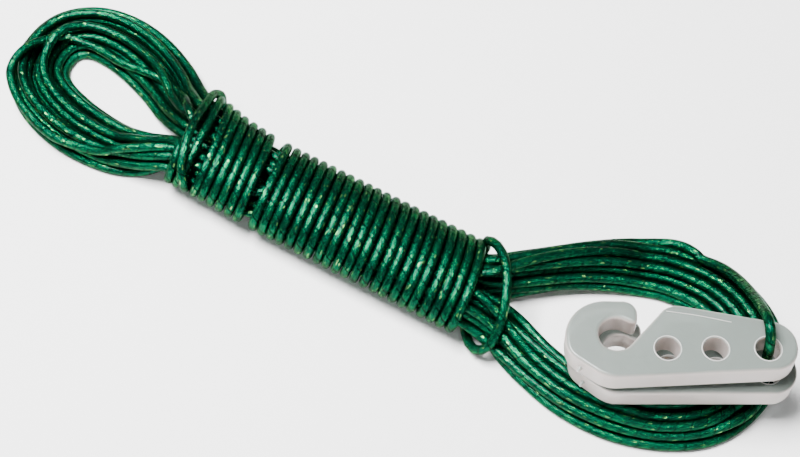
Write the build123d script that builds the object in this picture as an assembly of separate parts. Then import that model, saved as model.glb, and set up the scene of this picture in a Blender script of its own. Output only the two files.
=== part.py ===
from build123d import *
import math
import os

# A hank of clothesline cord with two moulded hooks on it. Millimetres, +Z up. The hank lies along X:
# its plain loop is at -X and its hook loop at +X. The origin is at the middle of the foot of its box.

# ---- driving dimensions ----------------------------------------------------
CORD_D = 3.0                      # cord diameter
CORD_R = CORD_D / 2
WRAP_PITCH = 3.2                  # cord spacing along the waist
SHORT_TURNS, LONG_TURNS = 8, 22   # turns in the two wraps

CORE_HALF_W, CORE_HALF_H = 13.4, 6.9      # waist core: the strands inside the wraps
CORE_Y = -12.3                    # waist centre line
CORE_Z = CORE_HALF_H + CORD_D     # the wraps hold the core this high
LEFT_X, RIGHT_X = -64.0, 44.0     # ends of the waist core
SHORT_WRAP_X = -60.4              # left end of the first wrap
LONG_WRAP_X = -32.0               # left end of the second wrap

PLAIN_LOOP_H = 9.0                # height of the strands in the plain loop
HOOK_LOOP_H = 10.6                # and in the hook loop

HOOK_T = 8.5                      # hook thickness
HOOK_EDGE_R = 1.1                 # rounding of a hook's outer edges
HOLE_R = 3.5                      # the three holes in each hook
HOLE_RIM = 0.3                    # the small chamfers at their mouths
HOLE_2 = (-14.6, 0.8)             # middle hole, from the end hole
HOLE_1 = (-28.0, 1.6)             # hole nearest the throat
GATE_UV = (-52.2, -0.7)           # foot of the moulding gate's stub, at the nose
GATE_OUT = (-0.64, -0.77)         # and the way it points
GATE_FOOT_R, GATE_TIP_R, GATE_L = 0.9, 0.35, 2.2
UPPER_POS = (128.5, 0.8, 22.3)    # upper hook's end hole, at its under face
UPPER_TURN = 31.5                 # its long axis, degrees from +X
UPPER_TILT = 2.2                  # its tail lies this many degrees up
LOWER_POS = (131.0, -0.2, 11.3)
LOWER_TURN = 29.6

# ---- outlines, seen from above ---------------------------------------------
PLAIN_LOOP_OUTER = [(-98, 21.4), (-109, 25.4), (-119, 25.6), (-129, 19.6), (-136.8, 8.0), (-138.95, -5),
                    (-133.6, -17.6), (-122, -27.2), (-106, -31.8), (-92, -32.2), (-77, -27.6)]
PLAIN_LOOP_EYE = [(-71.5, -7.6), (-83, -3.6), (-96, 0.2), (-110, 2.0), (-119.5, 0.4), (-118.6, -4.2),
                  (-109.5, -9.6), (-98, -12.4), (-86, -12.4)]
HOOK_LOOP_OUTER = [(54.6, 10.2), (68.4, 21.2), (81, 29.2), (93, 33.6), (106, 33.2), (119, 27.6),
                   (129.4, 17.0), (134.6, 3), (132.2, -10), (124.4, -21.6), (113, -29.6), (99, -33.6),
                   (84, -33.7), (70, -30.6), (58, -26.6)]
HOOK_LOOP_EYE = [(54.5, -8.4), (62, 0.6), (71, 7.4), (81, 12.0), (92, 14.4), (103, 12.6), (110.4, 5.4),
                 (110, -4.6), (102.6, -13.4), (91, -19.2), (78, -20.4), (66, -16.6)]
WAIST_FAR_LEFT, WAIST_NEAR_LEFT = (LEFT_X, 5.2), (LEFT_X, -23.4)
WAIST_FAR_RIGHT, WAIST_NEAR_RIGHT = (RIGHT_X, 1.4), (RIGHT_X, -23.6)

# Hook outline (u towards the tail, v across), its corners and their rounding radii
HOOK_OUTLINE = [
    ((8.6, -6.6), 7.4), ((8.6, 7.2), 7.4),          # round tail
    ((-25.85, 15.93), 6.0),                         # shoulder
    ((-39.6, 2.0), 5.0), ((-46.8, 2.0), 4.9),       # throat
    ((-46.8, 12.0), 4.9), ((-40.4, 12.0), 4.0),
    ((-35.6, 9.45), 1.35), ((-34.6, 17.2), 4.0),    # beak
    ((-56.4, 18.9), 11.8), ((-56.4, 2.0), 7.0),     # curl
    ((-46.0, -6.6), 10.0),
]

# ---- free stretches of the cord: the points of each route -------------------
# Up from the hook loop, over the upper hook and down through both end holes
THREADED_ROUTE = [(98.6, 31.6, 8.4), (105.0, 30.2, 12.2), (111.2, 26.0, 17.0), (117.0, 19.4, 23.6),
                  (121.2, 12.2, 31.0), (124.4, 6.4, 36.8), (126.8, 2.6, 37.0), (128.4, -0.2, 33.4),
                  (129.0, 0.6, 25.0), (130.9, 0.0, 17.0), (131.2, -0.8, 9.6)]
# The loose last turn, over the hook end of the waist and tucked in beneath it
LOCKING_ROUTE = [(39.0, 1.6, 15.4), (43.8, 0.0, 18.6), (49.0, -4.6, 19.4), (52.4, -10.6, 19.2),
                 (55.0, -16.8, 17.2), (56.4, -22.6, 13.4), (55.8, -27.6, 8.0), (51.4, -28.6, 3.2),
                 (46.0, -24.4, 1.6), (42.0, -17.4, 1.5)]


def corner_radii(points):
    """One bend radius for each corner: 0.45 of its shorter run, over the tangent of half the turn."""
    radii = []
    for before, here, after in zip(points, points[1:], points[2:]):
        arriving, leaving = Vector(here) - Vector(before), Vector(after) - Vector(here)
        half_turn = math.radians(arriving.get_angle(leaving)) / 2
        radii.append(0.45 * min(arriving.length, leaving.length) / math.tan(half_turn))
    return radii


def cord_tube(points):
    """A round cord along straight runs joined by tangent arcs."""
    path = FilletPolyline(*points, radius=corner_radii(points))
    start = Plane(origin=path @ 0, z_dir=path % 0)
    return sweep(start * Circle(CORD_R), path=path), path.length


def ellipse_bar(half_w, half_h, x_from, x_to):
    """A straight bar of elliptical section along the waist."""
    section = Plane(origin=(x_from, CORE_Y, CORE_Z), x_dir=(0, 1, 0), z_dir=(1, 0, 0))
    return extrude(section * Ellipse(half_w, half_h), amount=x_to - x_from)


def wrap(x_from, turns):
    """The outer shape of a run of tight turns round the waist: an elliptical sleeve."""
    x_to = x_from + turns * WRAP_PITCH
    outer = ellipse_bar(CORE_HALF_W + CORD_D, CORE_HALF_H + CORD_D, x_from, x_to)
    return outer - ellipse_bar(CORE_HALF_W, CORE_HALF_H, x_from, x_to)


def loop_solid(outer, eye, start, end, side):
    """The outer shape of a bundle of strands that leaves the waist, goes round and comes back."""
    rim = Spline(start, *outer, end)
    plan = make_face(rim + Line(end, start)) - make_face(Spline(*eye, periodic=True))
    profile = Plane.XZ * make_face(Polyline(*side, close=True))
    return extrude(plan, amount=40) & extrude(profile, amount=50, both=True)


def plain_loop():
    waist_top = CORE_Z + CORE_HALF_H
    side = [(-150, 0), (-80, 0), (LEFT_X, CORD_D), (LEFT_X, waist_top), (-90, PLAIN_LOOP_H),
            (-150, PLAIN_LOOP_H)]
    return loop_solid(PLAIN_LOOP_OUTER, PLAIN_LOOP_EYE, WAIST_FAR_LEFT, WAIST_NEAR_LEFT, side)


def hook_loop():
    side = [(RIGHT_X, CORD_D), (60, 0), (150, 0), (150, HOOK_LOOP_H), (66, HOOK_LOOP_H),
            (55, 12.4), (RIGHT_X, 16.2)]
    return loop_solid(HOOK_LOOP_OUTER, HOOK_LOOP_EYE, WAIST_FAR_RIGHT, WAIST_NEAR_RIGHT, side)


def hook():
    """One hook in its own frame: end hole on the Z axis, under face at z = 0, tail towards +X."""
    corners = [point for point, _ in HOOK_OUTLINE]
    radii = [radius for _, radius in HOOK_OUTLINE]
    body = extrude(make_face(FilletPolyline(*corners, radius=radii, close=True)), amount=HOOK_T)
    faces = body.faces().sort_by(Axis.Z)
    body = fillet(faces[0].edges() + faces[-1].edges(), HOOK_EDGE_R)
    for u, v in [(0, 0), HOLE_1, HOLE_2]:
        body -= Pos(u, v, HOOK_T / 2) * Cylinder(HOLE_R, HOOK_T * 2)
    mouths = body.edges().filter_by(GeomType.CIRCLE).filter_by(lambda e: abs(e.radius - HOLE_R) < 0.01)
    body = chamfer(mouths, HOLE_RIM)
    gate = Plane(origin=(*GATE_UV, HOOK_T / 2), z_dir=(*GATE_OUT, 0))
    return body + gate * Cone(GATE_FOOT_R, GATE_TIP_R, GATE_L, align=(Align.CENTER, Align.CENTER, Align.MIN))


def placed_hook(position, turn, tilt):
    return Location(position) * Rotation(0, 0, turn) * Rotation(0, -tilt, 0) * hook()


def main():
    threaded, threaded_length = cord_tube(THREADED_ROUTE)
    locking, locking_length = cord_tube(LOCKING_ROUTE)
    for name, solid, length, route in (
        ("threaded_strand", threaded, threaded_length, THREADED_ROUTE),
        ("locking_turn", locking, locking_length, LOCKING_ROUTE),
    ):
        print(name, "length", round(length, 1), "volume / (section x length)",
              round(solid.volume / (math.pi * CORD_R**2 * length), 4))
        print("  radii", [round(r, 1) for r in corner_radii(route)])
    nodes = {
        "plain_loop": plain_loop(),
        "waist_core": ellipse_bar(CORE_HALF_W, CORE_HALF_H, LEFT_X, RIGHT_X),
        "short_wrap": wrap(SHORT_WRAP_X, SHORT_TURNS),
        "long_wrap": wrap(LONG_WRAP_X, LONG_TURNS),
        "hook_loop": hook_loop(),
        "locking_turn": locking,
        "threaded_strand": threaded,
        "upper_hook": placed_hook(UPPER_POS, UPPER_TURN, UPPER_TILT),
        "lower_hook": placed_hook(LOWER_POS, LOWER_TURN, 0),
    }
    os.makedirs("parts", exist_ok=True)
    for name, shape in nodes.items():
        export_step(shape, f"parts/{name}.step")
    box = Compound(children=list(nodes.values())).bounding_box()
    print("box", box.min, box.max)


main()
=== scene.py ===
import math
from itertools import groupby
import bpy
import numpy as np
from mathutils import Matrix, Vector


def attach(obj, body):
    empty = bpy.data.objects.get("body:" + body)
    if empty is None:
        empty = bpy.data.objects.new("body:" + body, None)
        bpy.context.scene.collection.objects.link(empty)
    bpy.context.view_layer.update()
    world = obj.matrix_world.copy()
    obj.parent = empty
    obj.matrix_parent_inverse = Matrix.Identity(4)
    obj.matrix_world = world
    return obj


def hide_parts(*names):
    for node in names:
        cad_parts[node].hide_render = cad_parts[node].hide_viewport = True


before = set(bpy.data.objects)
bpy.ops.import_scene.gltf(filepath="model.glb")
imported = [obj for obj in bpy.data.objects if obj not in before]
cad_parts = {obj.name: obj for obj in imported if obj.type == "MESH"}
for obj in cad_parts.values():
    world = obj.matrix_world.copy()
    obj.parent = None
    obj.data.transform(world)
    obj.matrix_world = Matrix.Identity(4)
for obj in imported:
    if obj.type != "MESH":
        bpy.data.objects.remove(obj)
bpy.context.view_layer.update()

# A hank of clothesline cord with two moulded hooks. The cord is one line: loops lay its laps round a ring
# and its turns round the waist, then the loose points settle. Layout is in millimetres, Blender in metres.
D, R = 3.0, 1.5                  # cord diameter and radius
STEP = 3.3                       # spacing of the cord's points
SETTLING_STEPS = 300
TUBE_SIDES = 12
rng = np.random.RandomState(7)

# ---------------------------------------------------------------- the hank's ring
# Stations of the bundle: x, y, half width across, lowest strand's height.
HOOK_END = [
    (44, -18.8, 5.2, 4.2), (50, -18.4, 5.8, 3.0), (57, -19.3, 6.4, 2.2), (63, -21.3, 6.2, 1.7),
    (70, -23.8, 5.9, 1.5), (83, -26.6, 6.0, 1.5), (97, -25.4, 7.0, 1.5), (110, -20.6, 7.8, 1.5),
    (119.8, -13.0, 8.6, 1.5), (124.8, -1.5, 9.0, 1.5), (125.0, 12.2, 9.2, 1.5), (118.4, 21.9, 9.0, 1.5),
    (106.2, 26.9, 8.8, 1.5), (92, 26.4, 8.2, 1.5), (81, 22.4, 7.4, 1.5), (70, 16.0, 6.4, 1.7),
    (62, 9.8, 5.6, 2.4), (53, 2.2, 5.2, 3.4), (44, -4.6, 5.0, 4.2)]
PLAIN_END = [
    (-66, -1.1, 6.0, 4.8), (-75, 3.4, 7.4, 3.0), (-86, 10.3, 8.6, 1.8), (-98, 15.2, 9.4, 1.5),
    (-109.5, 17.4, 9.4, 1.5), (-120.5, 16.2, 8.8, 1.5), (-128.2, 10.2, 8.4, 1.5), (-130, 0.6, 8.2, 1.5),
    (-127, -9.0, 8.4, 1.5), (-119.5, -15.2, 8.8, 1.5), (-108, -19.2, 9.0, 1.5), (-97, -20.8, 8.6, 1.5),
    (-86, -20.9, 7.6, 1.6), (-75, -19.4, 6.4, 2.6), (-66, -17.4, 5.4, 4.8)]
BUNDLE_Y, BUNDLE_HALF_W, BUNDLE_Z = 6.9, 4.8, 5.2     # each half of the waist's bundle, from its centre line
WAIST_Z, TURN_H = 9.9, 8.4       # middle of the waist, and half height of a turn's centre line


def waist_y(x):
    """The waist's centre line."""
    return np.interp(x, (-64, -50, -38, -30, 40), (-8.5, -10.6, -11.8, -12.2, -13.0))


def turn_w(x):
    """Half width of a turn's centre line."""
    return np.interp(x, (-64, -50, -38, 40), (17.0, 15.3, 14.9, 14.9))


# Place of each lap in the bundle: out from its middle in half widths (+1 is the outside of the ring), its
# row, and its place in the row.
SLOT_PITCH = 0.4
SLOTS = ([(1.0 - SLOT_PITCH * k, 0, k) for k in range(6)] + [(-0.8 + SLOT_PITCH * k, 1, k) for k in range(5)]
         + [(0.6 - SLOT_PITCH * k, 2, k) for k in range(3)])
LAPS = len(SLOTS)
THREADED_LAP = 10                # the lap whose strand carries the hooks
CROSSING_LAP = 12                # the lap that crosses over the others at the plain loop's end
CROSSING_X, CROSSING_REACH, CROSSING_Y = -66, 36, (-10, 14)     # where it starts, how far it goes, its sides
CHANGE_AT, CHANGE_OVER = 0.86, 0.12       # parts of a lap where it moves to the next slot
WANDER_EVERY, WANDER_OUT, WANDER_UP = 30, 0.13, 0.25     # the laps' unevenness: points between knots, sizes
WAIST_FROM, WAIST_TO = -60, 40   # x limits of the bundle's laps at the waist's height
HELD_FROM, HELD_TO = -63, 43     # x limits of the strands that are held inside the wraps

# ---------------------------------------------------------------- free stretches
# In metres, as the part has them: over the upper hook and down through both end holes,
# and the loose last turn over the hook end of the waist.
THREADED = [(0.0986, 0.0316, 0.0084), (0.1050, 0.0302, 0.0122), (0.1112, 0.0260, 0.0170),
            (0.1170, 0.0194, 0.0236), (0.1212, 0.0122, 0.0310), (0.1244, 0.0064, 0.0368),
            (0.1268, 0.0026, 0.0370), (0.1284, -0.0002, 0.0334), (0.1290, 0.0006, 0.0250),
            (0.1309, 0.0000, 0.0170), (0.1312, -0.0008, 0.0096)]
LOCKING = [(0.0390, 0.0016, 0.0154), (0.0438, 0.0000, 0.0186), (0.0490, -0.0046, 0.0194),
           (0.0524, -0.0106, 0.0192), (0.0550, -0.0168, 0.0172), (0.0564, -0.0226, 0.0134),
           (0.0558, -0.0276, 0.0080), (0.0514, -0.0286, 0.0032), (0.0460, -0.0244, 0.0016),
           (0.0420, -0.0174, 0.0015)]
# From the last lap up to the first turn, and from the hook loop up into the lower hook's end hole
TAIL = [(-0.0710, -0.0172, 0.0128), (-0.0670, -0.0160, 0.0148), (-0.0632, -0.0156, 0.0169),
        (-0.0606, -0.0174, 0.0175), (-0.0599, -0.0208, 0.0165), (-0.0600, -0.0239, 0.0140)]
TO_HOLES = [(0.1294, -0.0118, 0.0062), (0.1316, -0.0068, 0.0054), (0.1324, -0.0028, 0.0056)]

# What a point of the cord belongs to. The first two are free to settle.
LOOSE, IN_WAIST, WRAPPED, OVER_HOOKS, UP_TO_WRAPS, LOCKED = range(6)
HAND_LAID = {OVER_HOOKS: 1000 * np.array(TO_HOLES + THREADED[::-1]), UP_TO_WRAPS: 1000 * np.array(TAIL),
             LOCKED: 1000 * np.array(LOCKING)}


def spline(points, closed=False, n=16):
    """Points on a Catmull-Rom curve through the given rows."""
    p = np.asarray(points, float)
    if closed:
        p = np.vstack([p[-1], p, p[0], p[1]])
    else:
        p = np.vstack([2 * p[0] - p[1], p, 2 * p[-1] - p[-2]])
    out = []
    t = np.linspace(0, 1, n, endpoint=False)[:, None]
    for a, b, c, d in zip(p, p[1:], p[2:], p[3:]):
        out.append(0.5 * (2 * b + (c - a) * t + (2 * a - 5 * b + 4 * c - d) * t ** 2
                          + (3 * b - a - 3 * c + d) * t ** 3))
    if not closed:
        out.append(p[-2][None])
    return np.vstack(out)


def even(line, step):
    """The line's points at an even spacing near step."""
    run = np.concatenate([[0], np.cumsum(np.linalg.norm(np.diff(line[:, :3], axis=0), axis=1))])
    s = np.linspace(0, run[-1], max(2, int(round(run[-1] / step)) + 1))
    return np.stack([np.interp(s, run, line[:, i]) for i in range(line.shape[1])], 1)


def ring():
    """The ring that the laps follow, from the hook end of the waist's near side: stations and outward."""
    xs = np.linspace(33, -55, 9)
    far = [(x, waist_y(x) + BUNDLE_Y, BUNDLE_HALF_W, BUNDLE_Z) for x in xs]
    near = [(x, waist_y(x) - BUNDLE_Y, BUNDLE_HALF_W, BUNDLE_Z) for x in xs[::-1]]
    c = spline(HOOK_END + far + PLAIN_END + near, closed=True)
    c = np.vstack([c, c[:1]])
    run = np.concatenate([[0], np.cumsum(np.linalg.norm(np.diff(c[:, :2], axis=0), axis=1))])
    s = np.linspace(0, run[-1], int(run[-1] / 1.5))[:-1]
    c = np.stack([np.interp(s, run, c[:, i]) for i in range(4)], 1)
    t = np.roll(c[:, :2], -3, 0) - np.roll(c[:, :2], 3, 0)
    t /= np.linalg.norm(t, axis=1)[:, None]
    return c, np.stack([t[:, 1], -t[:, 0]], 1)


def wander(n, scale, size):
    """A smooth seeded wander of n values."""
    k = max(4, int(n / scale) + 3)
    knots = rng.uniform(-1, 1, k)
    return size * spline(knots[:, None], n=max(2, int(math.ceil(n / (k - 1)))))[:n, 0]


def laps():
    """All the laps as one line: its points, how far round its lap each is, and which lap that is."""
    c, out = ring()
    total = len(c) * LAPS
    i = np.arange(total) % len(c)
    turn = np.arange(total) / len(c)
    lap = np.minimum(turn.astype(int), LAPS - 1)
    part = turn - lap
    # a lap moves to the next slot while it passes back through the waist's near side
    blend = np.clip((part - CHANGE_AT) / CHANGE_OVER, 0, 1)
    blend = blend * blend * (3 - 2 * blend)
    a0, row, place = np.array(SLOTS).T
    nxt = np.minimum(lap + 1, LAPS - 1)
    a = a0[lap] * (1 - blend) + a0[nxt] * blend + wander(total, WANDER_EVERY, WANDER_OUT)
    # one of the top laps crosses over the others round the plain loop's end, from outside to the eye's edge
    over = (lap == CROSSING_LAP) * np.clip((CROSSING_X - c[i, 0]) / CROSSING_REACH, 0, 1)
    a = a * (1 - over) + np.interp(c[i, 1], CROSSING_Y, (1.0, -1.0)) * over
    # every second place of a row is raised, so that its strands touch
    apart = SLOT_PITCH * c[i, 2]
    zig = np.sqrt(np.maximum(0, D * D - apart ** 2))
    pitch = zig + np.sqrt(D * D - np.minimum(apart, 4.4) ** 2 / 4)
    up = row[lap] * (1 - blend) + row[nxt] * blend
    odd = (place % 2)[lap] * (1 - blend) + (place % 2)[nxt] * blend
    p = np.zeros((total, 3))
    p[:, :2] = c[i, :2] + out[i] * (np.clip(a, -1.12, 1.12) * c[i, 2])[:, None]
    p[:, 2] = c[i, 3] + up * pitch + odd * zig + wander(total, WANDER_EVERY, WANDER_UP)
    waist = (p[:, 0] > WAIST_FROM) & (p[:, 0] < WAIST_TO)
    p[waist, 2] += (WAIST_Z - 0.5 * (2 * pitch + zig) - c[i, 3])[waist]
    return p, part, lap


# The first turns, which cross: angle along the winding, x there, and how far outside the layer it rides
FIRST_TURNS = [
    (180, -60.4, 0.0), (270, -66.4, 0.0), (300, -66.2, 0.0), (330, -64.6, 0.0), (376, -61.8, 0.0),
    (405, -59.6, 0.0), (440, -57.0, 0.0), (480, -55.6, 0.0), (510, -56.0, 0.0), (540, -57.4, 0.0),
    (630, -63.3, 0.0), (660, -63.2, 1.2), (690, -63.6, 2.9), (715, -64.2, 2.4), (740, -64.9, 0.2),
    (775, -62.7, 0.4), (800, -61.2, 1.6), (824, -59.2, 2.7), (845, -57.0, 3.1), (860, -55.4, 3.1),
    (874, -54.1, 2.5), (890, -53.8, 0.9), (905, -54.3, 0.0), (990, -60.2, 0.0), (1030, -60.9, 0.0),
    (1060, -60.0, 0.0), (1080, -58.9, 0.0)]
EVEN_FROM = 1100                 # the angle where the even turns start
SHORT_TURNS, LONG_TURNS = 6, 22  # even turns in each wrap
SHORT_FROM, SHORT_PITCH = -57.7, 3.62     # x of the first one's top, and the step to the next
LONG_FROM, LONG_PITCH = -32.7, 3.34


def turns():
    """The wraps' line. Its angle is 0 on the far side, 90 on top and 180 on the near side."""
    tops = [*(SHORT_FROM + SHORT_PITCH * np.arange(SHORT_TURNS)),
            *(LONG_FROM + LONG_PITCH * np.arange(LONG_TURNS))]
    slant = [*np.linspace(5.0, 4.2, SHORT_TURNS), *np.linspace(3.2, 3.9, LONG_TURNS)]
    slant = np.array(slant) + rng.uniform(-0.25, 0.25, len(slant))
    tops = np.array(tops) + rng.uniform(-0.12, 0.12, len(tops))
    marks = list(FIRST_TURNS)
    for n, (x, s) in enumerate(zip(tops, slant)):
        nx = tops[n + 1] if n < len(tops) - 1 else x + 3.3
        for f in range(0, 360, 20):
            u = (f + 20) / 360.0
            ang = math.radians(f + 20)
            # the short wrap's last turn stays with it as long as it can, then steps over the gap
            go = min(0.53 * u, 0.32) + max(0.0, u - 0.6) * 1.7 if n == SHORT_TURNS - 1 else u
            base = x + (nx - x) * go
            lean = math.cos(ang - math.radians(130)) - math.cos(math.radians(20 - 130))
            marks.append((EVEN_FROM + 360 * n + f, base + s * lean, 0.0))
    f = np.arange(FIRST_TURNS[0][0], EVEN_FROM + 360 * (len(tops) - 1) + 345, 4.0)
    curve = spline(marks, n=10)
    order = np.argsort(curve[:, 0])
    x = np.interp(f, curve[order, 0], curve[order, 1])
    r = np.interp(f, curve[order, 0], curve[order, 2])
    ang = np.radians(f)
    w = turn_w(x) + r
    h = TURN_H + r
    return np.stack([x, waist_y(x) + w * np.cos(ang), WAIST_Z + h * np.sin(ang)], 1)


def whole_line():
    """The cord's first guess, end to end, and what each point belongs to."""
    p, part, lap = laps()
    x, y = p[:, 0], p[:, 1]
    belongs = np.where((x > HELD_FROM) & (x < HELD_TO), IN_WAIST, LOOSE)
    # the inner end leads up to the first lap
    d = np.arange(9.0, 0.0, -1.5)[:, None]
    stub = p[0] + d * (-1.0, 0.2, 0.25)
    # the lap that carries the hooks leaves the ring at the hook loop
    here = (lap == THREADED_LAP) & (part < 0.5)
    leave = np.nonzero(here & (x > 110) & (y > -17.5))[0][0]
    back = np.nonzero(here & (y > 20) & (x < 91))[0][0]
    # the last lap stops where the tail starts
    stop = np.nonzero((lap == LAPS - 1) & (part > 0.5) & (x > -75) & (y < -10))[0][0]
    wrap = turns()
    tail = spline(np.vstack([p[stop - 1:stop], HAND_LAID[UP_TO_WRAPS], wrap[:1]]), n=8)[1:-1]
    lock = spline(np.vstack([wrap[-3:-2], HAND_LAID[LOCKED]]), n=8)[8:]
    runs = [(stub, IN_WAIST), (p[:leave], belongs[:leave]), (spline(HAND_LAID[OVER_HOOKS], n=8), OVER_HOOKS),
            (p[back:stop], belongs[back:stop]), (tail, UP_TO_WRAPS), (wrap, WRAPPED), (lock, LOCKED)]
    line = np.vstack([points for points, kind in runs])
    kinds = np.concatenate([np.broadcast_to(kind, len(points)) for points, kind in runs])
    full = even(line, STEP)
    run = np.concatenate([[0], np.cumsum(np.linalg.norm(np.diff(line, axis=0), axis=1))])
    near = np.searchsorted(run, np.linspace(0, run[-1], len(full)))
    return full, kinds[np.clip(near, 0, len(kinds) - 1)]


def with_hand_laid(p, kinds):
    """The cord's control points: the laid ones, with each free stretch's own points in its place."""
    rows = []
    for kind, group in groupby(range(len(p)), key=lambda k: kinds[k]):
        rows.append(HAND_LAID[kind] if kind in HAND_LAID else p[list(group)])
    return np.vstack(rows)


def segment_gap(p, i, j):
    """Nearest points of segments i and j: their places along each, and the vector between them."""
    a, b = p[i], p[j]
    u, v, w = p[i + 1] - a, p[j + 1] - b, a - b
    uu, uv, vv = (u * u).sum(1), (u * v).sum(1), (v * v).sum(1)
    uw, vw = (u * w).sum(1), (v * w).sum(1)
    den = uu * vv - uv * uv
    s = np.where(den > 1e-6 * uu * vv, (uv * vw - vv * uw) / np.maximum(den, 1e-9), 0.5)
    s = np.clip(s, 0, 1)
    t = np.clip((uv * s + vw) / vv, 0, 1)
    s = np.clip((uv * t - uw) / uu, 0, 1)
    return s, t, (a + u * s[:, None]) - (b + v * t[:, None])


def near_pairs(p, reach, skip):
    """Pairs of segments whose middles are within reach, at least skip apart along the cord."""
    mid = (0.5 * (p[1:] + p[:-1])).astype(np.float32)
    order = np.argsort(mid[:, 0])
    q = mid[order]
    left, right = [], []
    hi = np.searchsorted(q[:, 0], q[:, 0] + reach)
    n = len(q)
    for k in range(1, int((hi - np.arange(n)).max())):
        a = np.nonzero(np.arange(n) + k < hi)[0]
        d = q[a + k] - q[a]
        ok = (d * d).sum(1) < reach * reach
        left.append(order[a[ok]])
        right.append(order[a[ok] + k])
    i, j = np.concatenate(left), np.concatenate(right)
    keep = np.abs(i - j) > skip
    return np.minimum(i, j)[keep], np.maximum(i, j)[keep]


# ---------------------------------------------------------------- settling
CONTACT_GAP = D + 0.04           # strands' centre lines stay this far apart
GRAVITY = 0.006                  # drop of a free point in one step
TETHER, LATE_TETHER = 0.010, 0.003        # pull back to where a point was laid, and in the last quarter
PUSH, STRETCH = 1.3, 0.8         # share of a contact and of a length error mended in one step
BEND_STIFFNESS, BEND_KEPT = 0.35, 0.9     # smoothing, and how much of the laid curvature it keeps
PAIRS_EVERY = 8                  # steps between searches for neighbours
UNDER_HOOKS_X, UNDER_HOOKS_Y, UNDER_HOOKS_Z = 66, 12, 9.4    # strands under the hooks stay below this height


def push_apart(p, free, i, j):
    """Moves touching segments i and j apart to the contact gap."""
    s, t, v = segment_gap(p, i, j)
    dist = np.linalg.norm(v, axis=1)
    hit = dist < CONTACT_GAP
    ii, jj, s, t, v, dist = i[hit], j[hit], s[hit], t[hit], v[hit], np.maximum(dist[hit], 1e-3)
    w = [(1 - s) * free[ii], s * free[ii + 1], (1 - t) * free[jj], t * free[jj + 1]]
    den = ((1 - s) ** 2 * free[ii] + s ** 2 * free[ii + 1]
           + (1 - t) ** 2 * free[jj] + t ** 2 * free[jj + 1])
    push = (v / dist[:, None]) * ((CONTACT_GAP - dist) / np.maximum(den, 0.25))[:, None]
    idx = np.concatenate([ii, ii + 1, jj, jj + 1])
    sign = np.concatenate([w[0], w[1], -w[2], -w[3]])
    count = np.bincount(idx, np.abs(sign), len(p))
    for c in range(3):
        shift = np.bincount(idx, sign * np.tile(push[:, c], 4), len(p))
        p[:, c] += PUSH * shift / np.maximum(1.0, count)


def keep_lengths(p, free, rest):
    """Brings each segment back towards its rest length."""
    for first in (0, 1):
        k = np.arange(first, len(p) - 1, 2)
        d = p[k + 1] - p[k]
        length = np.linalg.norm(d, axis=1)
        wsum = np.maximum(free[k] + free[k + 1], 1e-6)
        corr = d * ((length - rest[k]) / length / wsum * STRETCH)[:, None]
        p[k] += corr * free[k][:, None]
        p[k + 1] -= corr * free[k + 1][:, None]


def keep_in_room(p, free, inside):
    """Holds points above the floor, within the wraps and below the hooks."""
    p[:, 2] = np.where(free > 0, np.maximum(p[:, 2], R), p[:, 2])
    x, y, z = p[inside].T
    aw, ah = turn_w(x) - D - 0.1, TURN_H - D - 0.1
    e = np.sqrt(((y - waist_y(x)) / aw) ** 2 + ((z - WAIST_Z) / ah) ** 2)
    out = np.maximum(e, 1.0)
    p[inside, 1] = waist_y(x) + (y - waist_y(x)) / out
    p[inside, 2] = WAIST_Z + (z - WAIST_Z) / out
    under = (p[:, 0] > UNDER_HOOKS_X) & (p[:, 1] < UNDER_HOOKS_Y) & (free > 0)
    p[under, 2] = np.minimum(p[under, 2], UNDER_HOOKS_Z)


def relax(p, kinds, steps):
    """Settles the loose strands beside and on each other, on the floor and inside the wraps."""
    free = (kinds <= IN_WAIST).astype(float)
    inside = kinds == IN_WAIST
    rest = np.linalg.norm(np.diff(p, axis=0), axis=1)
    bend = 0.5 * (p[:-2] + p[2:]) - p[1:-1]
    home = p.copy()
    weight = free[:, None]
    for step in range(steps):
        if step % PAIRS_EVERY == 0:
            i, j = near_pairs(p, D + STEP + 1.2, 4)
            move = (free[i] + free[i + 1] + free[j] + free[j + 1]) > 0
            i, j = i[move], j[move]
        late = step > steps * 0.75
        p[:, 2] -= GRAVITY * free
        p += (TETHER if not late else LATE_TETHER) * (home - p) * weight
        push_apart(p, free, i, j)
        keep_lengths(p, free, rest)
        smooth = 0.5 * (p[:-2] + p[2:]) - p[1:-1] - bend * BEND_KEPT
        p[1:-1] += BEND_STIFFNESS * smooth * weight[1:-1]
        keep_in_room(p, free, inside)
    return p


# ---------------------------------------------------------------- the line and its tube
def metres(p):
    """Millimetres to metres."""
    return np.asarray(p, float) / 1000.0


def nurbs_line(name, points):
    """Points read from the smooth NURBS line through the control points."""
    curve = bpy.data.curves.new(name, "CURVE")
    curve.dimensions = "3D"
    curve.resolution_u = 2
    s = curve.splines.new("NURBS")
    s.points.add(len(points) - 1)
    flat = np.ones((len(points), 4), np.float32)
    flat[:, :3] = points
    s.points.foreach_set("co", flat.ravel())
    s.order_u = 3
    s.use_endpoint_u = True
    o = bpy.data.objects.new(name, curve)
    bpy.context.scene.collection.objects.link(o)
    bpy.context.view_layer.update()
    mesh = bpy.data.meshes.new_from_object(o.evaluated_get(bpy.context.evaluated_depsgraph_get()))
    co = np.zeros(len(mesh.vertices) * 3, np.float32)
    mesh.vertices.foreach_get("co", co)
    bpy.data.objects.remove(o)
    return co.reshape(-1, 3).astype(float)


def frames(line):
    """A side and an up direction at each point, carried along the line without twist."""
    t = np.gradient(line, axis=0)
    t /= np.linalg.norm(t, axis=1)[:, None]
    side = np.zeros_like(t)
    v = np.cross(t[0], (0.0, 0.0, 1.0))
    for k in range(len(t)):
        v = v - t[k] * (v @ t[k])
        v /= np.linalg.norm(v)
        side[k] = v
    return side, np.cross(t, side)


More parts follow.
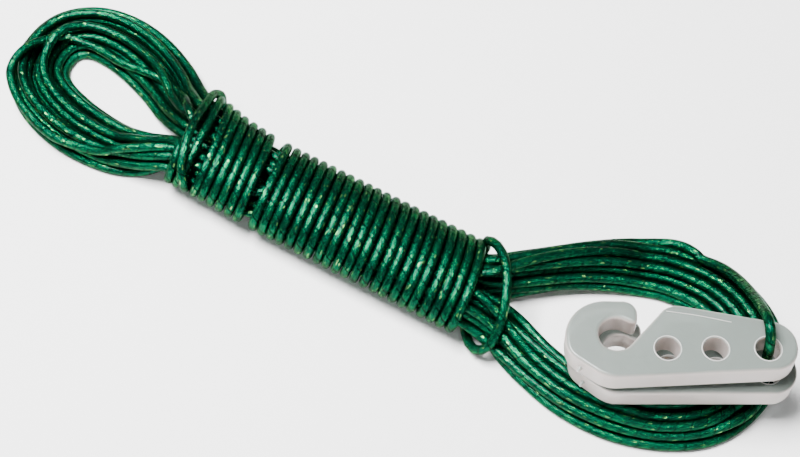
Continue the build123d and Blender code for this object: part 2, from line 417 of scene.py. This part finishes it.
def tube(name, line, radius, sides, material):
    """A tube round the line. UV: metres along the cord, and once round it."""
    side, up = frames(line)
    ang = np.linspace(0, 2 * math.pi, sides, endpoint=False)
    spokes = side[:, None] * np.cos(ang)[None, :, None] + up[:, None] * np.sin(ang)[None, :, None]
    n = len(line)
    co = (line[:, None] + radius * spokes).reshape(-1, 3)
    a = (np.arange(n - 1)[:, None] * sides + np.arange(sides)[None]).ravel()
    b = (np.arange(n - 1)[:, None] * sides + (np.arange(sides)[None] + 1) % sides).ravel()
    faces = np.stack([a, b, b + sides, a + sides], 1)
    co = np.vstack([co, line[:1], line[-1:]])
    k = np.arange(sides)
    first = np.stack([np.full(sides, len(co) - 2), (k + 1) % sides, k], 1)
    last = np.stack([np.full(sides, len(co) - 1), (n - 1) * sides + k, (n - 1) * sides + (k + 1) % sides], 1)
    corners = np.concatenate([faces.ravel(), first.ravel(), last.ravel()])
    starts = np.concatenate([np.arange(len(faces)) * 4, len(faces) * 4 + np.arange(2 * sides) * 3])
    mesh = bpy.data.meshes.new(name)
    mesh.vertices.add(len(co))
    mesh.vertices.foreach_set("co", co.ravel().astype(np.float32))
    mesh.loops.add(len(corners))
    mesh.loops.foreach_set("vertex_index", corners.astype(np.int32))
    mesh.polygons.add(len(starts))
    mesh.polygons.foreach_set("loop_start", starts.astype(np.int32))
    mesh.polygons.foreach_set("use_smooth", np.arange(len(starts)) < len(faces))
    uv = mesh.uv_layers.new(name="UVMap")
    run = np.concatenate([[0], np.cumsum(np.linalg.norm(np.diff(line, axis=0), axis=1))])
    k = np.repeat(np.arange(n - 1), sides)
    j = np.tile(np.arange(sides), n - 1)
    u = np.stack([run[k], run[k], run[k + 1], run[k + 1]], 1)
    w = np.stack([j, j + 1, j + 1, j], 1) / sides
    flat = np.stack([u, w], 2).reshape(-1, 2)
    ends = np.tile([[0.0, 0.5]], (len(corners) - len(flat), 1))
    uv.data.foreach_set("uv", np.vstack([flat, ends]).ravel().astype(np.float32))
    mesh.update(calc_edges=True)
    mesh.validate()
    o = bpy.data.objects.new(name, mesh)
    bpy.context.scene.collection.objects.link(o)
    mesh.materials.append(material)
    return o


# ---------------------------------------------------------------- materials
SEAM_PITCH = 0.0046              # the tape's edge goes once round the cord in this length
SEAM_EDGE, SEAM_SHARPNESS = 0.435, 26.0   # part of a turn from its middle where the seam starts; its rise
CREASE_LENGTH = 0.0011           # a crease of the foil, along the cord
CREASE_CIRCLE = 3.8              # radius, in creases, of the circle that carries them round the cord
CREASE_SLANT = 0.5


def shader(name, **values):
    """A new material, its node tree and its main shader with these values."""
    m = bpy.data.materials.new(name)
    m.use_nodes = True
    main = m.node_tree.nodes["Principled BSDF"]
    for key, value in values.items():
        main.inputs[key].default_value = value
    return m, m.node_tree, main


def feed(tree, socket, value):
    """Gives an input a value or another node's output."""
    if isinstance(value, bpy.types.NodeSocket):
        tree.links.new(value, socket)
    else:
        socket.default_value = value


def maths(tree, op, a, b=None, clamp=False):
    """A sum, product or other operation on one or two values."""
    n = tree.nodes.new("ShaderNodeMath")
    n.operation = op
    n.use_clamp = clamp
    feed(tree, n.inputs[0], a)
    if b is not None:
        feed(tree, n.inputs[1], b)
    return n.outputs[0]


def mixed(tree, blend, factor, a, b):
    """Two colours, blended by the factor."""
    n = tree.nodes.new("ShaderNodeMix")
    n.data_type = "RGBA"
    n.blend_type = blend
    feed(tree, n.inputs["Factor"], factor)
    feed(tree, n.inputs[6], a)
    feed(tree, n.inputs[7], b)
    return n.outputs[2]


def ramp(tree, value, stops):
    """Colours for a value, from stops of value and colour."""
    n = tree.nodes.new("ShaderNodeValToRGB")
    feed(tree, n.inputs[0], value)
    e = n.color_ramp.elements
    while len(e) < len(stops):
        e.new(0.5)
    for k, (at, c) in enumerate(stops):
        e[k].position = at
        e[k].color = (*c, 1)
    return n.outputs[0]


def noise(tree, place, scale, detail=2.0, roughness=0.5):
    """A cloudy value between 0 and 1 at a place."""
    n = tree.nodes.new("ShaderNodeTexNoise")
    for key, value in (("Vector", place), ("Scale", scale), ("Detail", detail), ("Roughness", roughness)):
        feed(tree, n.inputs[key], value)
    return n.outputs[0]


def object_place(tree):
    """The place on the object itself, in metres."""
    return tree.nodes.new("ShaderNodeTexCoord").outputs["Object"]


def add_bump(tree, main, height, strength, distance):
    """Raises the main shader's surface by a height."""
    n = tree.nodes.new("ShaderNodeBump")
    for key, value in (("Height", height), ("Strength", strength), ("Distance", distance)):
        feed(tree, n.inputs[key], value)
    feed(tree, main.inputs["Normal"], n.outputs[0])


def cord_material():
    """Crinkled green foil tape wound on the core, seen through a clear green glossy sheath."""
    m, tree, main = shader("cord_green", **{
        "Metallic": 0.9, "Roughness": 0.25, "Specular Tint": (0.04, 0.32, 0.22, 1),
        "Coat Weight": 0.06, "Coat Roughness": 0.05, "Coat IOR": 1.45})
    uv = tree.nodes.new("ShaderNodeUVMap")
    uv.uv_map = "UVMap"
    sep = tree.nodes.new("ShaderNodeSeparateXYZ")
    feed(tree, sep.inputs[0], uv.outputs[0])
    along, around = sep.outputs[0], sep.outputs[1]
    # the tape's edge is a helical seam
    turn = maths(tree, "FRACT", maths(tree, "ADD", maths(tree, "MULTIPLY", along, 1 / SEAM_PITCH), around))
    seam = maths(tree, "ABSOLUTE", maths(tree, "SUBTRACT", turn, 0.5))
    seam = maths(tree, "MULTIPLY", maths(tree, "SUBTRACT", seam, SEAM_EDGE), SEAM_SHARPNESS, clamp=True)
    # the foil's creases are laid out round the cord without a join
    angle = maths(tree, "MULTIPLY", around, 2 * math.pi)
    sine, cosine = maths(tree, "SINE", angle), maths(tree, "COSINE", angle)
    lay = tree.nodes.new("ShaderNodeCombineXYZ")
    feed(tree, lay.inputs[0], maths(tree, "ADD", maths(tree, "MULTIPLY", along, 1 / CREASE_LENGTH),
                                    maths(tree, "MULTIPLY", sine, CREASE_SLANT)))
    feed(tree, lay.inputs[1], maths(tree, "MULTIPLY", cosine, CREASE_CIRCLE))
    feed(tree, lay.inputs[2], maths(tree, "MULTIPLY", sine, CREASE_CIRCLE))
    facets = tree.nodes.new("ShaderNodeTexVoronoi")
    feed(tree, facets.inputs["Scale"], 1.0)
    feed(tree, facets.inputs["Vector"], lay.outputs[0])
    creases = noise(tree, lay.outputs[0], 1.7, detail=3.0, roughness=0.65)
    height = maths(tree, "ADD", maths(tree, "MULTIPLY", facets.outputs["Distance"], 0.7), creases)
    height = maths(tree, "SUBTRACT", height, maths(tree, "MULTIPLY", seam, 0.5))
    add_bump(tree, main, height, 0.7, 0.00022)
    # the crease cells take dark green tones at random; the brightest few take a pale yellow-green that is a
    # painted glint
    foil = ramp(tree, facets.outputs["Color"],
                [(0.0, (0.0, 0.030, 0.015)), (0.5, (0.0, 0.070, 0.034)), (0.86, (0.003, 0.135, 0.05)),
                 (0.965, (0.28, 0.55, 0.17))])
    shade = ramp(tree, noise(tree, object_place(tree), 110.0),
                 [(0.35, (0.55, 0.62, 0.66)), (0.65, (1.0, 1.0, 1.0))])
    colour = mixed(tree, "MULTIPLY", 1.0, foil, shade)
    feed(tree, main.inputs["Base Color"], mixed(tree, "MIX", seam, colour, (0.0, 0.010, 0.005, 1)))
    return m


def hook_material(name, top, side):
    """Milky natural polypropylene: cloudy inside, with a fine moulded skin, and pale on its sides as painted
    light. Faces that look up take the top colour and faces that look sideways take the side colour: painted
    light and shade for how the light falls.
    """
    m, tree, main = shader(name, **{
        "Roughness": 0.33, "Subsurface Weight": 0.4, "Subsurface Scale": 0.003, "Transmission Weight": 0.35,
        "IOR": 1.49, "Coat Weight": 0.1, "Coat Roughness": 0.2, "Subsurface Radius": (1.0, 0.92, 0.85)})
    place = object_place(tree)
    cloud = noise(tree, place, 60.0, detail=3.0)
    grain = noise(tree, place, 600.0, detail=3.0)
    facing = tree.nodes.new("ShaderNodeSeparateXYZ")
    feed(tree, facing.inputs[0], tree.nodes.new("ShaderNodeNewGeometry").outputs["Normal"])
    cloudiness = maths(tree, "MULTIPLY", maths(tree, "SUBTRACT", cloud, 0.5), 0.35)
    facing_light_and_cloud = maths(tree, "ADD", maths(tree, "ABSOLUTE", facing.outputs[2]), cloudiness)
    # painted light and shade: faces that look up take the top colour and side faces the side colour,
    # loosened by the random cloud
    feed(tree, main.inputs["Base Color"], ramp(tree, facing_light_and_cloud, [(0.35, side), (0.95, top)]))
    add_bump(tree, main, maths(tree, "ADD", grain, cloud), 0.2, 0.0003)
    return m


def core_material():
    """Off-white fibre core, seen only at the cut ends."""
    m, tree, main = shader("core_fibre", **{"Roughness": 0.8})
    feed(tree, main.inputs["Base Color"], ramp(tree, noise(tree, object_place(tree), 4000.0),
                                               [(0.3, (0.35, 0.33, 0.28)), (0.7, (0.62, 0.60, 0.54))]))
    return m


# ---------------------------------------------------------------- the cord
guess, kinds = whole_line()
laid = relax(guess, kinds, SETTLING_STEPS)
line = nurbs_line("cord_line", metres(with_hand_laid(laid, kinds)))
cord = tube("cord", line, R / 1000, TUBE_SIDES, cord_material())
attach(cord, "root")
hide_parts("plain_loop", "waist_core", "short_wrap", "long_wrap", "hook_loop", "locking_turn",
            "threaded_strand")

# The fibre core shows a little past each cut end, in metres.
CORE_ALONG, CORE_RADIUS = (-0.0008, 0.0002, 0.0007), 0.0009
fibre = core_material()
for name, end, inner in (("core_end_inner", line[0], line[2]), ("core_end_tail", line[-1], line[-3])):
    out_way = (end - inner) / np.linalg.norm(end - inner)
    tip = tube(name, np.array([end + d * out_way for d in CORE_ALONG]), CORE_RADIUS, 10, fibre)
    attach(tip, "root")

# ---------------------------------------------------------------- the hooks
# hook bodies: a dark greenish-grey top as painted shade, and pinkish pale sides as painted light
milky = hook_material("hook_milky", (0.205, 0.24, 0.22), (0.70, 0.62, 0.585))
# a near-white copy of the hook material, for painted highlights on the hooks
painted_highlight = hook_material("hook_painted_highlight", (0.92, 0.90, 0.86), (0.92, 0.88, 0.85))
for node in ("upper_hook", "lower_hook"):
    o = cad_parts[node]
    o.data.materials.clear()
    o.data.materials.append(milky)

HOOKS = {"upper": ((128.5, 0.8, 22.3), 31.5, 2.2), "lower": ((131.0, -0.2, 11.3), 29.6, 0.0)}
HOLES = [(0.0, 0.0), (-14.6, 0.8), (-28.0, 1.6)]
HOOK_T = 8.5
RIM_RADIUS, RIM_LINE, FACE_LINE = 3.86, 0.17, 0.13       # round a hole's rim, and the own radius of the two painted highlight lines


def on_hook(which, u, v, w):
    """A hook's own place (towards the tail, across, up) in the row frame, in metres."""
    place, turn, tilt = HOOKS[which]
    a, b = math.radians(turn), math.radians(tilt)
    along = np.array((math.cos(a) * math.cos(b), math.sin(a) * math.cos(b), math.sin(b)))
    across = np.array((-math.sin(a), math.cos(a), 0.0))
    up = np.cross(along, across)
    return metres(np.array(place) + u * along + v * across + w * up)


def highlight_line(which, name, points, radius):
    """A fine line on a hook's upper face, in the near-white material: a painted highlight."""
    path = [on_hook(which, u, v, w) for u, v, w in points]
    o = tube(which + "_" + name, even(spline(path, n=6), 0.0006), radius / 1000, 8, painted_highlight)
    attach(o, which + "_hook")


# painted highlights: a thin bright ring round each hole, and a thin bright line across the upper face
for which in HOOKS:
    for n, (u, v) in enumerate(HOLES, 1):
        rim = [(u + RIM_RADIUS * math.cos(t), v + RIM_RADIUS * math.sin(t), HOOK_T)
               for t in np.linspace(0, 2 * math.pi, 25)]
        highlight_line(which, "hole_rim_highlight_%d" % n, rim, RIM_LINE)
    highlight_path = [(-27.0, 13.3, HOOK_T), (-22.0, 12.3, HOOK_T), (-17.0, 11.1, HOOK_T), (-9.0, 8.8, HOOK_T)]
    highlight_line(which, "face_line_highlight", highlight_path, FACE_LINE)

# ---------------------------------------------------------------- floor, light, camera
floor = bpy.data.meshes.new("floor")
floor.from_pydata([(-3, -3, 0), (3, -3, 0), (3, 3, 0), (-3, 3, 0)], [], [(0, 1, 2, 3)])
floor_o = bpy.data.objects.new("floor", floor)
bpy.context.scene.collection.objects.link(floor_o)
floor.materials.append(shader("floor_pale", **{"Base Color": (0.97, 0.97, 0.97, 1), "Roughness": 0.9})[0])


def area_light(name, place, size, power):
    """A soft light that points at the middle of the floor."""
    d = bpy.data.lights.new(name, "AREA")
    d.shape = "RECTANGLE"
    d.size, d.size_y = size
    d.energy = power
    o = bpy.data.objects.new(name, d)
    o.location = place
    o.rotation_euler = (-Vector(place)).to_track_quat("-Z", "Y").to_euler()
    bpy.context.scene.collection.objects.link(o)


area_light("over", (-0.25, -0.08, 0.85), (0.42, 0.36), 38.0)
area_light("side", (0.75, -0.75, 0.5), (0.5, 0.5), 3.0)
area_light("back", (-0.5, 0.9, 0.5), (0.4, 0.3), 0.3)
world = bpy.data.worlds.new("studio")
bpy.context.scene.world = world
world.use_nodes = True
world.node_tree.nodes["Background"].inputs[0].default_value = (1, 1, 1, 1)
world.node_tree.nodes["Background"].inputs[1].default_value = 0.2

AZ, EL, AWAY = math.radians(29.6), math.radians(59.0), 0.450
aim = Vector((0.0127, -0.0054, 0.010))
back = Vector((math.sin(AZ) * math.cos(EL), -math.cos(AZ) * math.cos(EL), math.sin(EL)))
cam = bpy.data.cameras.new("camera")
cam.lens, cam.sensor_width = 65.0, 36.0
cam.clip_start, cam.clip_end = 0.01, 20.0
cam_o = bpy.data.objects.new("camera", cam)
cam_o.location = aim + AWAY * back
cam_o.rotation_euler = (-back).to_track_quat("-Z", "Y").to_euler()
bpy.context.scene.collection.objects.link(cam_o)
bpy.context.scene.camera = cam_o
